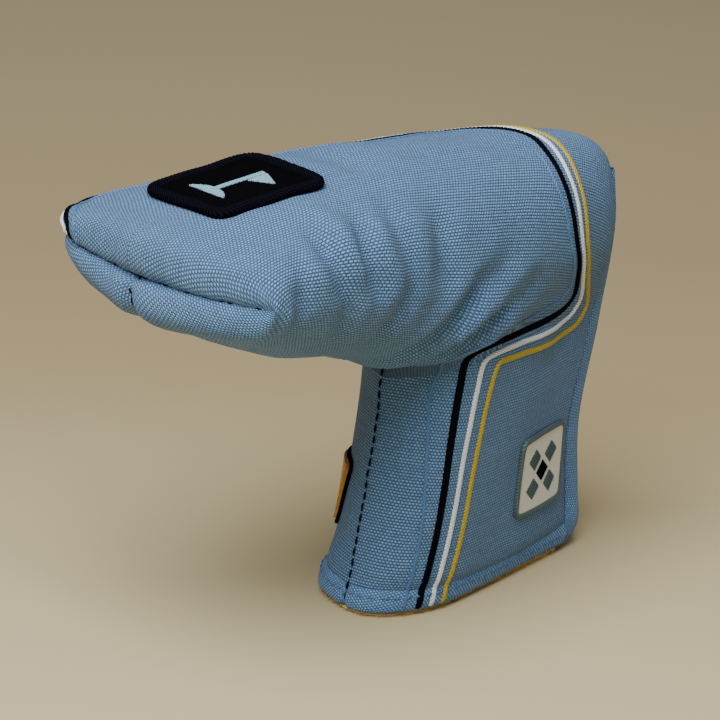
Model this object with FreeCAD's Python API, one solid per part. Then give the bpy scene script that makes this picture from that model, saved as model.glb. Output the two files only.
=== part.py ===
"""Blade putter head cover: padded fabric boot that stands on the opening of its neck.

Frame, in millimetres: origin at the centre of the neck opening on the floor plane, +Z up,
+X towards the heel, -X towards the toe, -Y is the near side and +Y the far side.

The cover is an arm (the pocket for the blade, lying along X) on a neck (the sleeve round the
hosel and shaft, standing along Z).  Every layer is the space between two closed bodies that
have the same shape at different depths under the outer surface, so body(0) is the outside of
the cover and body(LINING_IN) is the cavity.  The near panel of the neck is the closure flap:
it folds outwards about a straight line from the foot of the neck to the top of the heel slit.
"""
import FreeCAD
import Part
import math
import os

from FreeCAD import Vector

# ---------------------------------------------------------------- driving dimensions
FABRIC = 0.9             # outer woven fabric
FOAM = 3.0               # foam interlining
PLUSH = 1.9              # plush lining
FABRIC_IN = FABRIC
FOAM_IN = FABRIC_IN + FOAM
LINING_IN = FOAM_IN + PLUSH
THREAD = 0.6             # how far stripes, hems and seam threads stand proud
PATCH = 1.2              # how far the side patches stand proud
TOE_PATCH = 1.9          # thickness of the stiff patch on the toe
SLIT = 0.15              # half of the gap between the two edges of the heel slit
HEM_HEIGHT = 6.0         # rolled hem round the bottom
HEM_ROLL = 1.2           # fabric turned under the layers at the bottom
HEEL_HEM = 6.0           # width of the hem along the heel slit
LEAN = math.radians(5.0)  # each side of the neck leans outwards going up
WIDENS_TO = 70.0         # as far up as this
CORNER = 7.0             # radius of the bottom heel corner
TOE_END = -101.5
HEEL_END = 44.0
ARM_FOOT = 61.0          # height of the arm's underside where the neck starts
NECK_TOP = 74.0          # the neck sleeve runs up into the arm as far as this
FOLD_FOOT = Vector(-20.0, -15.5, 0.0)   # fold line of the flap, at the foot
FOLD_TOP = Vector(44.5, -6.5, 99.0)     # fold line of the flap, at the top of the slit
FLAP_OPEN = 40.0         # degrees that the flap folds outwards
FOLD_GAP = 0.35          # clearance between flap and cover along the fold
MAGNET_R = 3.0
MAGNET_T = 1.5
MAGNETS = [(21.0, 12.0, 2.6), (24.5, 52.0, 3.6)]   # x, z, and distance of the middle from the slit
FAR_PATCH_X = -21.5
FAR_PATCH_Z = 25.5
FAR_PATCH = 19.0         # side of the patch on the far side
FAR_BORDER = 1.6
POUCH = 0.4              # wall of the fabric pouch round each magnet

# ---------------------------------------------------------------- outlines of the cover
# (station x, value): ridge height, underside height, half width and height of the widest line
RIDGE = [(-101.5, 95), (-100, 98), (-97, 102.5), (-93, 105.2), (-85, 107.6), (-72, 109.6), (-58, 111.6),
         (-40, 113), (-15, 113), (10, 112.4), (25, 110.8), (34, 108), (40, 104.5), (44, 99)]
UNDER = [(-101.5, 89), (-100, 86), (-97, 83), (-93, 81.5), (-82, 77), (-70, 72.5), (-55, 67.8),
         (-42, 63.8), (-31, ARM_FOOT), (8, 61.5), (30, 66), (44, 72)]
WIDE = [(-101.5, 9), (-100, 18), (-97, 30), (-93, 37.5), (-80, 36.5), (-65, 33.5), (-50, 30.5),
        (-31, 27.5), (-10, 25), (8, 21), (22, 16), (32, 12), (39, 8), (44, 3)]
MIDDLE = [(-101.5, 92), (-80, 91.5), (-50, 89.5), (-31, 88), (0, 87), (25, 86), (44, 84)]
# (height z, x): front seam and heel edge of the neck
FRONT = [(0, -39.5), (15, -36.6), (30, -34), (45, -31.6), (61, -30), (NECK_TOP, -29.5)]
HEEL = [(0, 37), (6, 38.5), (14, 39), (23, 38), (31, 37), (39, 37.5), (52, 39.2), (65, 41.5),
        (80, 43.3), (90, 44.3), (99, 44)]
# (fraction from front seam to heel edge, half width): teardrop plan of the neck
TEARDROP = [(0, 0), (0.02, 5.2), (0.06, 9), (0.13, 12.3), (0.22, 13.8), (0.32, 13.6), (0.5, 11),
            (0.75, 6.6), (0.93, 3.6), (1, 2.6)]
FAR_FULLER = [(0, 1.45), (20, 1.2), (60, 1.05), (NECK_TOP, 1.0)]   # the far side bellies out at the foot
ARM_STATIONS = [-101.5, -100, -97, -93, -86, -76, -62, -46, -31, -14, 4, 18, 28, 36, 41, HEEL_END]
FOAM_START = 2           # the inside of the foam starts this many stations in, so the toe is padded
LINING_START = 3         # and the inside of the lining this many
HEEL_ROOM = 0.9          # an inner body ends where the heel is this much wider than one wall
TOE_ZONE = -80.0         # stations before this move inwards with depth
SECTION_STEPS = 9        # points on a quarter of an arm section
LOWER_POWER = 0.95       # roundness of a section below its widest line
NECK_LEVELS = [0, 12, 26, 42, 58, NECK_TOP]
NECK_FRACTIONS = [0.004, 0.02, 0.06, 0.13, 0.22, 0.34, 0.5, 0.66, 0.82, 0.93, 1.0]


def curve(table):
    """Smooth function of one variable through the points of a table."""
    xs = [p[0] for p in table]
    ys = [p[1] for p in table]
    last = len(xs) - 1
    slopes = []
    for i in range(len(xs)):
        lo, hi = max(i - 1, 0), min(i + 1, last)
        slopes.append((ys[hi] - ys[lo]) / (xs[hi] - xs[lo]))

    def value(x):
        x = min(max(x, xs[0]), xs[-1])
        i = min(max(sum(1 for k in xs if k <= x) - 1, 0), last - 1)
        h = xs[i + 1] - xs[i]
        t = (x - xs[i]) / h
        return (ys[i] * (2 * t ** 3 - 3 * t ** 2 + 1) + slopes[i] * h * (t ** 3 - 2 * t ** 2 + t)
                + ys[i + 1] * (3 * t ** 2 - 2 * t ** 3) + slopes[i + 1] * h * (t ** 3 - t ** 2))
    return value


ridge, under, wide, middle = curve(RIDGE), curve(UNDER), curve(WIDE), curve(MIDDLE)
front, heel, teardrop, far_fuller = curve(FRONT), curve(HEEL), curve(TEARDROP), curve(FAR_FULLER)


# ---------------------------------------------------------------- closed bodies at a depth
def spline(points):
    c = Part.BSplineCurve()
    c.interpolate(Points=points)
    return c.toShape()


def upper_power(x):
    """Exponent of the rounded section above its widest line: squarer shoulders at the toe."""
    return 3.0 if x < -60 else 2.4


def upper_height(x, y):
    """Height of the outside of the arm above a point of the plan."""
    n = upper_power(x)
    share = min(abs(y) / wide(x), 0.999)
    return middle(x) + (ridge(x) - middle(x)) * (1 - share ** n) ** (1 / n)


def arm_section(station, side, depth, past):
    """Half of a rounded section of the arm across X, from the ridge to the underside and back.

    The flat back of the half lies past the middle plane by the given amount."""
    into_toe = max(0.0, (TOE_ZONE - station) / (TOE_ZONE - TOE_END))
    x = station + depth * into_toe
    half = max(wide(station) - depth, 1.0)
    mid = middle(station)
    top = max(ridge(station) - depth, mid + 0.8)
    low = min(under(station) + depth, mid - 0.8)
    points = []
    for i in range(2 * SECTION_STEPS + 1):
        a = math.pi / 2 * i / SECTION_STEPS
        s, c = math.sin(a), math.cos(a)
        power = 2 / upper_power(station) if c > 0 else LOWER_POWER
        y = half * max(s, 0.0) ** power
        rise = top - mid if c > 0 else mid - low
        points.append(Vector(x, side * y, mid + rise * math.copysign(abs(c) ** power, c)))
    points[0].y = points[-1].y = 0.0
    back = [points[-1], Vector(x, -side * past, low), Vector(x, -side * past, top), points[0]]
    if past == 0:
        back = [points[-1], points[0]]
    lines = [Part.makeLine(p, q) for p, q in zip(back, back[1:])]
    return Part.Wire([spline(points)] + lines)


def arm_half(side, depth, past):
    first = 0 if depth <= FABRIC_IN else FOAM_START if depth <= FOAM_IN else LINING_START
    stations = [s for s in ARM_STATIONS[first:] if s < 0 or wide(s) - depth > HEEL_ROOM]
    return Part.makeLoft([arm_section(s, side, depth, past) for s in stations], True, False)


def neck_outline(z, side, f):
    """Point of the outside of the neck at a fraction from the front seam to the heel edge."""
    x_front, x_heel = front(z), heel(z)
    fade = min(f / 0.12, 1.0) * max(min((1.15 - f) / 0.7, 1.0), 0.0)
    half = teardrop(f) + (min(z, WIDENS_TO) * math.tan(LEAN) - 1.4) * fade
    if side > 0:
        half *= far_fuller(z)
    return Vector(x_front + (x_heel - x_front) * f, side * half, z)


def neck_section(z, side, depth, past, at):
    """Half of the teardrop section of the neck, from the front seam to the blunt heel end and back."""
    points = [Vector(front(z) + depth, 0, at)]
    for f in NECK_FRACTIONS:
        p = neck_outline(z, side, f)
        t = neck_outline(z, side, min(f + 0.002, 1.0)) - neck_outline(z, side, max(f - 0.002, 0.0))
        inward = Vector(-t.y, t.x, 0).normalize()
        if inward.y * side > 0:
            inward = inward * -1
        q = p + inward * depth
        if q.y * side > 0.5:
            points.append(Vector(q.x, q.y, at))
    end = points[-1]
    back = [end, Vector(end.x, -side * past, at), Vector(points[0].x, -side * past, at)]
    if past:
        back.append(points[0])
    lines = [Part.makeLine(p, q) for p, q in zip(back, back[1:])]
    return Part.Wire([spline(points)] + lines)


def neck_half(side, depth, past):
    wires = [neck_section(z, side, depth, past, z) for z in NECK_LEVELS]
    if depth > 0:
        wires.insert(0, neck_section(0, side, depth, past, -6.0))
    return Part.makeLoft(wires, True, False)


def half_body(side, depth, past=0.0):
    return arm_half(side, depth, past).fuse(neck_half(side, depth, past))


# ---------------------------------------------------------------- regions that divide the layers
FAR_AWAY = 200.0


def block(x0, x1, y0, y1, z0, z1):
    return Part.makeBox(x1 - x0, y1 - y0, z1 - z0, Vector(x0, y0, z0))


def prism(outline, direction):
    return Part.Face(Part.makePolygon(outline + [outline[0]])).extrude(direction)


def fold_axes():
    """Unit vectors of the fold: along it, across it into the flap, and outwards."""
    along = (FOLD_TOP - FOLD_FOOT).normalize()
    out = Vector(0, -1, 0)
    out = (out - along * out.dot(along)).normalize()
    across = along.cross(out)
    if across.x < 0:
        across = across * -1
    return along, across, out


def fold_prism(profile):
    """Prism along the fold with a profile of (across, out) points measured from the fold line."""
    along, across, out = fold_axes()
    foot = FOLD_FOOT - along * FAR_AWAY
    return prism([foot + across * a + out * b for a, b in profile], along * (3 * FAR_AWAY))


opening = math.tan(math.radians(FLAP_OPEN))
BEYOND = FAR_AWAY
above_hem = block(-FAR_AWAY, FAR_AWAY, -FAR_AWAY, FAR_AWAY, HEM_ROLL, FAR_AWAY)
hem_slab = block(-FAR_AWAY, FAR_AWAY, -FAR_AWAY, FAR_AWAY, 0, HEM_HEIGHT)
cover_side = fold_prism([(0, -BEYOND), (0, BEYOND), (-BEYOND, BEYOND), (-BEYOND, -BEYOND)])
flap_side = fold_prism([(FOLD_GAP, -BEYOND), (BEYOND, -BEYOND), (BEYOND, BEYOND),
                        (FOLD_GAP + BEYOND * opening, BEYOND), (FOLD_GAP, 0)])
flap_region = flap_side.common(block(-FAR_AWAY, FAR_AWAY, -FAR_AWAY, -SLIT, -FAR_AWAY, FAR_AWAY))
slit_region = block(-FAR_AWAY, FAR_AWAY, -1.5, SLIT, -FAR_AWAY, FAR_AWAY).cut(cover_side)


def heel_band(width, past):
    """Band across Y along the heel edge, from the foot to the top of the slit."""
    levels = [0, 8, 16, 24, 32, 40, 52, 66, 80, 90, 97]
    inner = [Vector(heel(z) - width, -60, z) for z in levels]
    outer = [Vector(heel(z) + past, -60, z) for z in reversed(levels)]
    inner[0].z = outer[-1].z = -1.0
    return prism(inner + outer, Vector(0, 120, 0))


def heel_corner():
    """What is cut off outside the rounded bottom corner of the heel."""
    x, r = heel(6.0) + 0.6, CORNER
    square = block(x - r, x + 20, -60, 60, -20, r)
    return square.cut(Part.makeCylinder(r, 120, Vector(x - r, -60, r), Vector(0, 1, 0)))


def solids_over(shape, least=0.4):
    """The solids of a shape that are larger than a sliver, in cubic millimetres."""
    return [s for s in shape.Solids if s.Volume > least]


def save(name, shape, least=0.4):
    solids = solids_over(shape, least)
    if not solids:
        print("EMPTY", name)
        return
    out = solids[0] if len(solids) == 1 else Part.makeCompound(solids)
    out.exportStep("parts/%s.step" % name)
    box = out.BoundBox
    print("%-24s solids %2d valid %s volume %8.1f  x %6.1f %6.1f y %6.1f %6.1f z %6.1f %6.1f" % (
        name, len(solids), out.isValid(), out.Volume,
        box.XMin, box.XMax, box.YMin, box.YMax, box.ZMin, box.ZMax))


# ---------------------------------------------------------------- sub-parts
def rounded_square(side, radius, thickness):
    """Flat plate with rounded corners, centred on the origin, standing on z = 0."""
    h = side / 2
    plate = Part.makeBox(side, side, thickness, Vector(-h, -h, 0))
    edges = [e for e in plate.Edges if abs(e.BoundBox.ZLength - thickness) < 1e-6]
    return plate.makeFillet(radius, edges)


def placed(shape, centre, right, up):
    """Copy of a flat piece with its x axis along right and its y axis along up."""
    right, up = Vector(right).normalize(), Vector(up).normalize()
    n = right.cross(up).normalize()
    up = n.cross(right)
    m = FreeCAD.Matrix(right.x, up.x, n.x, centre.x, right.y, up.y, n.y, centre.y,
                       right.z, up.z, n.z, centre.z, 0, 0, 0, 1)
    return shape.transformGeometry(m)


def patch_set(side, radius, thickness, border, motif):
    """Base, stitched border and raised motif of a patch, lying on z = 0."""
    base = rounded_square(side - 2 * border + 0.2, radius - border / 2, thickness * 0.6)
    rim = rounded_square(side, radius, thickness).cut(
        rounded_square(side - 2 * border + 0.2, radius - border / 2, thickness * 2))
    mark = Part.makeCompound([m.cut(base) for m in motif(thickness * 0.6, 0.4)])
    return {"base": base, "border": rim, "motif": mark}


def flag_motif(low, high):
    """A pin flag on a mound."""
    pole = block(-0.7, 0.7, -7, 8, low, low + high)
    cloth = prism([Vector(0.7, 8, low), Vector(7.5, 5, low), Vector(0.7, 2, low)], Vector(0, 0, high))
    mound = Part.makeCylinder(9, high, Vector(0, -14, low)).common(block(-8, 8, -8.2, 0, low, low + high))
    return [pole.fuse(cloth).fuse(mound)]


def checker_motif(low, high):
    """Five small squares set on their corners, in a cross."""
    pieces = []
    for i, j in ((0, 0), (1, 1), (-1, 1), (1, -1), (-1, -1)):
        x, y, r = i * 3.2, j * 3.2, 2.0
        outline = [Vector(x + r, y, low), Vector(x, y + r, low), Vector(x - r, y, low), Vector(x, y - r, low)]
        pieces.append(prism(outline, Vector(0, 0, high)))
    return pieces


def band(path, width, direction):
    """Flat band of the given width along a path, extruded along a direction."""
    shapes = []
    for a, b in zip(path, path[1:]):
        t = (b - a).normalize()
        n = t.cross(Vector(direction).normalize()) * (width / 2)
        shapes.append(prism([a + n, b + n, b - n, a - n], direction))
        shapes.append(Part.makeCylinder(width / 2, Vector(direction).Length, b, Vector(direction)))
    return shapes[0].fuse(shapes[1:-1])


# name: width, near path (x, z) from the hem up, x where it crosses the ridge,
# plan path (x, y) along the far shoulder, height where it enters the toe seam
STRIPES = {
    "tonal": (1.4, [(-30.4, 0), (-25.3, 38.6), (-22.5, 68), (4.5, 75), (7.3, 82), (6.5, 90), (3.5, 103)],
              -4.0, [(-34, 9.5), (-60, 19.0)], 98.5),
    "black": (2.0, [(-26.4, 0), (-22, 38), (-20.3, 62.6), (12.5, 74.5), (13.2, 80), (12, 90), (9.3, 103)],
              1.0, [(-34, 12.5), (-60, 22.0)], 96.3),
    "white": (1.5, [(-22.6, 0), (-18.2, 38), (-15, 64), (16.8, 70.4), (17, 76), (15.4, 88), (13.6, 103)],
              6.5, [(-34, 15.3), (-60, 24.4)], 94.4),
    "yellow": (1.5, [(-18.4, 0), (-14.3, 37), (-9.5, 64.5), (21.2, 67.4), (21.4, 73), (19, 86), (16.6, 103)],
               11.0, [(-34, 17.6), (-60, 26.4)], 92.8),
}
TOE_SEAM_X = -93.0
SIDE_TOP = 103.0         # where a stripe turns from the near side on to the top


def stripe_prisms(name):
    """Bands through the near side, the top and the far side that cut a stripe out of a thin skin."""
    width, near, x_ridge, shoulder, z_toe = STRIPES[name]
    x_top = near[-1][0]
    side = band([Vector(x, -60, z) for x, z in near], width, Vector(0, 60, 0))
    over = [(x_top + 0.3, -24), (x_top - 0.5, -14), (x_ridge + 4, -6), (x_ridge, 0), (x_ridge - 9, 5)] + shoulder
    top = band([Vector(x, y, 90) for x, y in over], width, Vector(0, 0, 40))
    near_top = block(-FAR_AWAY, FAR_AWAY, -60, 0, SIDE_TOP - 0.3, 140)
    far_top = block(shoulder[-1][0], FAR_AWAY, 0, 60, 96, 140)
    x_turn, y_turn = shoulder[-1]
    far = band([Vector(x_turn + 2, 0, upper_height(x_turn, y_turn) + 0.8),
                Vector((x_turn + TOE_SEAM_X) / 2, 0, (upper_height(x_turn, y_turn) + z_toe) / 2 + 0.6),
                Vector(TOE_SEAM_X - 2, 0, z_toe)], width, Vector(0, 60, 0))
    far_side = block(-FAR_AWAY, x_turn, 0, 60, 0, 140)
    return [side], [top.common(near_top)], [top.common(far_top), far.common(far_side)]


def magnet_stack(x, z, y_mid, side):
    """A magnet disc and its fabric pouch, flat across Y at the given depth."""
    t = MAGNET_T / 2
    start = Vector(x, side * y_mid - t, z)
    disc = Part.makeCylinder(MAGNET_R, MAGNET_T, start, Vector(0, 1, 0))
    whole = Part.makeCylinder(MAGNET_R + 2 * POUCH, MAGNET_T + 2 * POUCH, start - Vector(0, POUCH, 0), Vector(0, 1, 0))
    return disc, whole.cut(disc), whole


def main():
    os.makedirs("parts", exist_ok=True)
    band_region = heel_band(HEEL_HEM, 3.0)
    corner = heel_corner()
    trim = band_region.fuse(block(-FAR_AWAY, FAR_AWAY, -FAR_AWAY, FAR_AWAY, -20, HEM_ROLL))
    stitch_slab = block(-60, heel(HEM_HEIGHT) - HEEL_HEM - 0.3, -40, 40, HEM_HEIGHT, HEM_HEIGHT + 0.7)
    mouth_strip = block(TOE_END - 2, -88, -45, 45, 91.4, 92.8)
    made = {}
    for side, half in ((-1, "near"), (1, "far")):
        outside = {d: half_body(side, d) for d in (0.0, FABRIC_IN, FOAM_IN)}
        tool = {d: half_body(side, d, 1.0) for d in (FABRIC_IN, FOAM_IN, LINING_IN)}
        proud = half_body(side, -THREAD)
        bead = proud.cut(half_body(side, 0.0, 1.0))
        above = half_body(side, 0.0, 1.0).common(above_hem)
        made[half] = {
            "outer_shell": outside[0.0].cut(tool[FABRIC_IN]).cut(trim),
            "foam_pad": outside[FABRIC_IN].cut(tool[FOAM_IN]).cut(trim),
            "plush_lining": outside[FOAM_IN].cut(tool[LINING_IN]).cut(trim),
            "bottom_hem": proud.common(hem_slab).cut(tool[LINING_IN]).cut(above).cut(band_region).cut(corner),
            "heel_hem": proud.common(band_region).cut(tool[LINING_IN]).cut(corner),
            "hem_topstitch": bead.common(stitch_slab),
            "front": bead.common(block(-60, -20, -0.8, 0.8, HEM_HEIGHT + 0.7, ARM_FOOT - 1)),
            "underside": bead.common(block(-99, -32, -0.8, 0.8, 50, 90)),
            "mouth": bead.common(mouth_strip),
            "bead": bead.cut(mouth_strip).cut(block(-60, 60, -60, 60, -1, HEM_HEIGHT + 0.7)),
        }

    # layers, hems and hem stitches, each divided at the ridge, the slit and the fold
    pouches = {}
    for side, half in ((-1, "near"), (1, "far")):
        stacks = [magnet_stack(x, z, y, side) for x, z, y in MAGNETS]
        pouches[half] = [Part.makeCompound([m[k] for m in stacks]) for k in range(3)]
        where = "flap" if side < 0 else "far"
        save("closure_magnets_" + where, pouches[half][0])
        save("magnet_pouches_" + where, pouches[half][1])
    for piece in ("outer_shell", "foam_pad", "plush_lining", "bottom_hem", "heel_hem", "hem_topstitch"):
        near, far = made["near"][piece], made["far"][piece].cut(slit_region)
        if piece in ("foam_pad", "plush_lining"):
            near, far = near.cut(pouches["near"][2]), far.cut(pouches["far"][2])
        least = 0.2 if piece == "hem_topstitch" else 3
        save(piece + "_near", near.common(cover_side), least)
        save(piece + "_far", far, least)
        save(piece + "_flap", near.common(flap_region), least)

    # thread along the seams that join the two panels
    for name, piece in (("neck_front_seam", "front"), ("underside_seam", "underside"), ("toe_mouth_seam", "mouth")):
        line = made["near"][piece].fuse(made["far"][piece])
        save(name, line.cut(made["near"]["outer_shell"]).cut(made["far"]["outer_shell"]), 0.2)

    # stripes of cord embroidery, from the hem up over the ridge and along the far side
    laid = []
    for name in STRIPES:
        side, near_top, far_bands = stripe_prisms(name)
        lower = block(-FAR_AWAY, FAR_AWAY, -60, 0, 0, SIDE_TOP)
        near = [made["near"]["bead"].common(side[0].common(lower)), made["near"]["bead"].common(near_top[0])]
        far = [made["far"]["bead"].common(b) for b in far_bands]
        stripe = near[0].fuse([near[1]] + far).common(cover_side)
        for other in laid:
            stripe = stripe.cut(other)
        laid.append(stripe)
        save("stripe_" + name, stripe, 1.5)

    # patches: a stiff one on the toe, one on the flap, one round the front of the neck on the far side
    pitch = math.radians(8.0)
    toe = (Vector(-75, 0, ridge(-75) + 0.25), Vector(0, -1, 0), Vector(math.cos(pitch), 0, math.sin(pitch)))
    yaw = math.radians(13.5)
    flap = (Vector(14.8, -10.9, 28.0), Vector(math.cos(yaw), math.sin(yaw), 0.02),
            Vector(0.05, -math.sin(LEAN), math.cos(LEAN)))
    near_skin = half_body(-1, 0.0, 1.0)
    whole_skin = near_skin.fuse(half_body(1, 0.0, 1.0))
    for name, at, side, radius, thick, border, motif, under_it in (
            ("toe_patch", toe, 28.0, 4.0, TOE_PATCH, 2.2, flag_motif, whole_skin),
            ("flap_patch", flap, 21.5, 3.5, PATCH + 0.3, 1.6, checker_motif, near_skin)):
        for piece, shape in patch_set(side, radius, thick, border, motif).items():
            save("%s_%s" % (name, piece), placed(shape, *at).cut(under_it), 0.1)
    sheet = neck_half(1, -PATCH, 0.0).common(block(-60, 20, 2, 60, 10, 60)).cut(half_body(1, 0.0, 1.0))
    at = (Vector(FAR_PATCH_X, 0, FAR_PATCH_Z), Vector(-1, 0, 0.06), Vector(0.06, 0, 1))
    window = placed(rounded_square(FAR_PATCH, 3.5, 60), *at)
    inner = placed(rounded_square(FAR_PATCH - 2 * FAR_BORDER, 2.5, 60), *at)
    save("far_patch_border", sheet.common(window).cut(inner))
    save("far_patch_base", sheet.common(inner))


main()
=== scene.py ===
"""Blade putter head cover: the looks of the padded fabric boot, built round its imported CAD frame.

The outer fabric is one sheet per side, drawn from outlines that follow the CAD's to a few millimetres.
It gets its wrinkles, is inflated a little by a cloth simulation between its seams, and is subdivided.
The foam, the lining, the hems, the embroidery, the stitches and the patches follow that sheet.
Lengths inside the script are in millimetres; meshes are made in metres.
"""
import math

import bpy
import numpy as np
from mathutils import Matrix, Vector
from mathutils.bvhtree import BVHTree


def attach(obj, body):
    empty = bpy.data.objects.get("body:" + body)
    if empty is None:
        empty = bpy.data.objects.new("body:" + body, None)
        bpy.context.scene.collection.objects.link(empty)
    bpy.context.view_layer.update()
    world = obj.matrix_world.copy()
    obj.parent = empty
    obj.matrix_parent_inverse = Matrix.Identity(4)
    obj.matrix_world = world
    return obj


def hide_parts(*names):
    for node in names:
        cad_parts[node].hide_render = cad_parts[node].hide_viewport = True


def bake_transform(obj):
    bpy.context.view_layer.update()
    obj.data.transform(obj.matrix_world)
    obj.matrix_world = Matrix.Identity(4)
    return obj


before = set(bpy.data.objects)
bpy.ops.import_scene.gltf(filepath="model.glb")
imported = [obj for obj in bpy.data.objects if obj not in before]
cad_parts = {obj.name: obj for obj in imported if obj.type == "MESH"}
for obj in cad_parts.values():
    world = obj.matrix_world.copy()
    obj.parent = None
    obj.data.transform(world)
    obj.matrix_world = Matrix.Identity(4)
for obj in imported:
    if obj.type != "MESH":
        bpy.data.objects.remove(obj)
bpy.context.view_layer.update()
MM = 0.001

# ---------------------------------------------------------------- outlines, close to the CAD's
# (station x, value), or (height z, x) for the front seam and the heel edge
RIDGE = [(-101.5, 95), (-100, 98), (-97, 102.5), (-93, 105.2), (-85, 107.6), (-72, 109.6), (-58, 111.6),
         (-40, 113), (-15, 113), (10, 112.4), (25, 110.8), (34, 108), (40, 104.5), (44, 99)]
UNDER = [(-101.5, 90), (-100, 88), (-97, 85.4), (-93, 83.4), (-82, 77.9), (-70, 72.5), (-55, 67.8),
         (-42, 63.8), (-30, 61)]
WIDE = [(-101.5, 9), (-100, 18), (-97, 30), (-93, 37.5), (-80, 36.5), (-65, 33.5), (-50, 30.5),
        (-31, 27.5), (-10, 25), (8, 21), (22, 16), (32, 12), (39, 8), (44, 3)]
MIDDLE = [(-101.5, 92), (-80, 91.5), (-50, 89.5), (-31, 88), (0, 87), (25, 86), (44, 84)]
FRONT = [(0, -39.5), (15, -36.6), (30, -34), (45, -31.6), (61, -30), (74, -30)]
HEEL = [(0, 36), (10, 37.8), (35, 36), (60, 40.3), (85, 43.3), (99, 42.7)]
TEARDROP = [(0, 0), (0.02, 5.2), (0.06, 9), (0.13, 12.3), (0.22, 13.8), (0.32, 13.6), (0.5, 11),
            (0.75, 6.6), (0.93, 3.6), (1, 2.6)]
FAR_FULLER = [(0, 1.72), (5, 1.6), (11, 1.36), (20, 1.2), (60, 1.05), (74, 1.0)]
CREASE = [(-30, 61), (-24, 64.5), (-15, 68.5), (-5, 71.5), (5, 70), (15, 66), (25, 62), (44, 60)]
LEAN = math.radians(5.0)
TOE_SEAM = -93.0          # where the rounded toe cap starts
CAP_REACH = 10.2          # how far the cap bulges past that
MOUTH_ANGLE = math.radians(130)   # the cap's lips turn in as far as this
MOUTH_Z = 94.4
NECK_FRONT = -30.0
HEEL_END = 44.0
TOP_OF_SLIT = 99.0
CORNER = 7.0              # radius of the bottom heel corner
HEM = 6.0                 # width of both hems
SHELL_FOOT = 1.5          # the fabric ends this far above the floor, inside the hem
FOLD_FOOT = Vector((-20.0, -15.5, 0.0))
FOLD_TOP = Vector((44.5, -6.5, 99.0))
SIDES = ((-1, "near", "fold"), (1, "far", "cover"))   # side of y, name, and what carries its pieces


def curve(table):
    """Smooth function of one variable through the points of a table."""
    xs, ys = np.array(table, float).T
    near, far = np.maximum(np.arange(len(xs)) - 1, 0), np.minimum(np.arange(len(xs)) + 1, len(xs) - 1)
    slopes = (ys[far] - ys[near]) / (xs[far] - xs[near])

    def value(x):
        x = np.clip(x, xs[0], xs[-1])
        i = np.clip(np.searchsorted(xs, x, side="right") - 1, 0, len(xs) - 2)
        h = xs[i + 1] - xs[i]
        t = (x - xs[i]) / h
        return (ys[i] * (2 * t ** 3 - 3 * t ** 2 + 1) + slopes[i] * h * (t ** 3 - 2 * t ** 2 + t)
                + ys[i + 1] * (3 * t ** 2 - 2 * t ** 3) + slopes[i + 1] * h * (t ** 3 - t ** 2))
    return value


ridge, under, wide, middle, front = curve(RIDGE), curve(UNDER), curve(WIDE), curve(MIDDLE), curve(FRONT)
heel_line, teardrop, far_fuller, crease = curve(HEEL), curve(TEARDROP), curve(FAR_FULLER), curve(CREASE)


def heel(z):
    """Heel edge at a height, with its rounded bottom corner."""
    low = np.clip(CORNER - z, 0.0, CORNER)
    return heel_line(z) - (CORNER - np.sqrt(CORNER ** 2 - low ** 2))


def smooth(t):
    t = np.clip(t, 0.0, 1.0)
    return t * t * (3 - 2 * t)


def gaps(points, axis=0):
    """Distances between neighbouring points."""
    return np.linalg.norm(np.diff(points, axis=axis), axis=-1)


def run_length(points):
    """How far along a line each of its points is."""
    return np.concatenate([[0], np.cumsum(gaps(points))])


def resampled(values, along, at):
    """Rows of values known at the places along, interpolated at the places at."""
    return np.stack([np.interp(at, along, column) for column in values.T], -1)


def even(points, count):
    """The polyline's shape with count even steps."""
    points = np.asarray(points, float)
    along = run_length(points)
    return resampled(points, along, np.linspace(0, along[-1], count + 1))


def unit(vectors):
    """Rows of vectors, each made one long."""
    return vectors / np.maximum(np.linalg.norm(vectors, axis=1, keepdims=True), 1e-9)


# ---------------------------------------------------------------- grids of the cover
CAP_COLUMNS, ARM_COLUMNS, NECK_COLUMNS = 12, 42, 46
UPPER_ROWS, LOWER_ROWS, NECK_ROWS = 21, 15, 38
ARM_ROWS = UPPER_ROWS + LOWER_ROWS
NECK_START = CAP_COLUMNS + ARM_COLUMNS
FINE_FROM, FINE_COLUMNS = 0.88, 8      # closer columns along the heel hem
FRACTIONS = np.concatenate([FINE_FROM * np.linspace(0, 1, NECK_COLUMNS - FINE_COLUMNS + 1) ** 1.45,
                            np.linspace(FINE_FROM, 1, FINE_COLUMNS + 1)[1:]])


def neck_half_width(p, z, side):
    fade = np.minimum(p / 0.12, 1.0) * np.clip((1.15 - p) / 0.7, 0.0, 1.0)
    half = teardrop(p) + (np.minimum(z, 70.0) * math.tan(LEAN) - 1.4) * fade
    return half * far_fuller(z) if side > 0 else half


def neck_flank(p, z, side, edge=heel_line, step=0.004):
    """x and half width of the neck at a fraction from front seam to heel edge, and its normal (-x, y)."""
    length = edge(z) - front(z)
    lo, hi = max(p - step, 0.0), min(p + step, 1.0)
    slope = (neck_half_width(hi, z, side) - neck_half_width(lo, z, side)) / (hi - lo)
    size = math.hypot(slope, length)
    return front(z) + length * p, neck_half_width(p, z, side), slope / size, length / size


def neck_point(p, z, side, depth, shift):
    """(x, |y|) of the neck at a fraction from its front seam to its heel edge, at a depth."""
    x, half, lean, out = neck_flank(p, z, side, heel, 0.002)
    return x + shift * depth * lean, max(half - depth * out, 0.12) if p > 0 else 0.0


def mouth_height(y):
    """The mouth seam climbs a little towards the far side."""
    return MOUTH_Z + 2.2 * smooth(y / 37)


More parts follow.
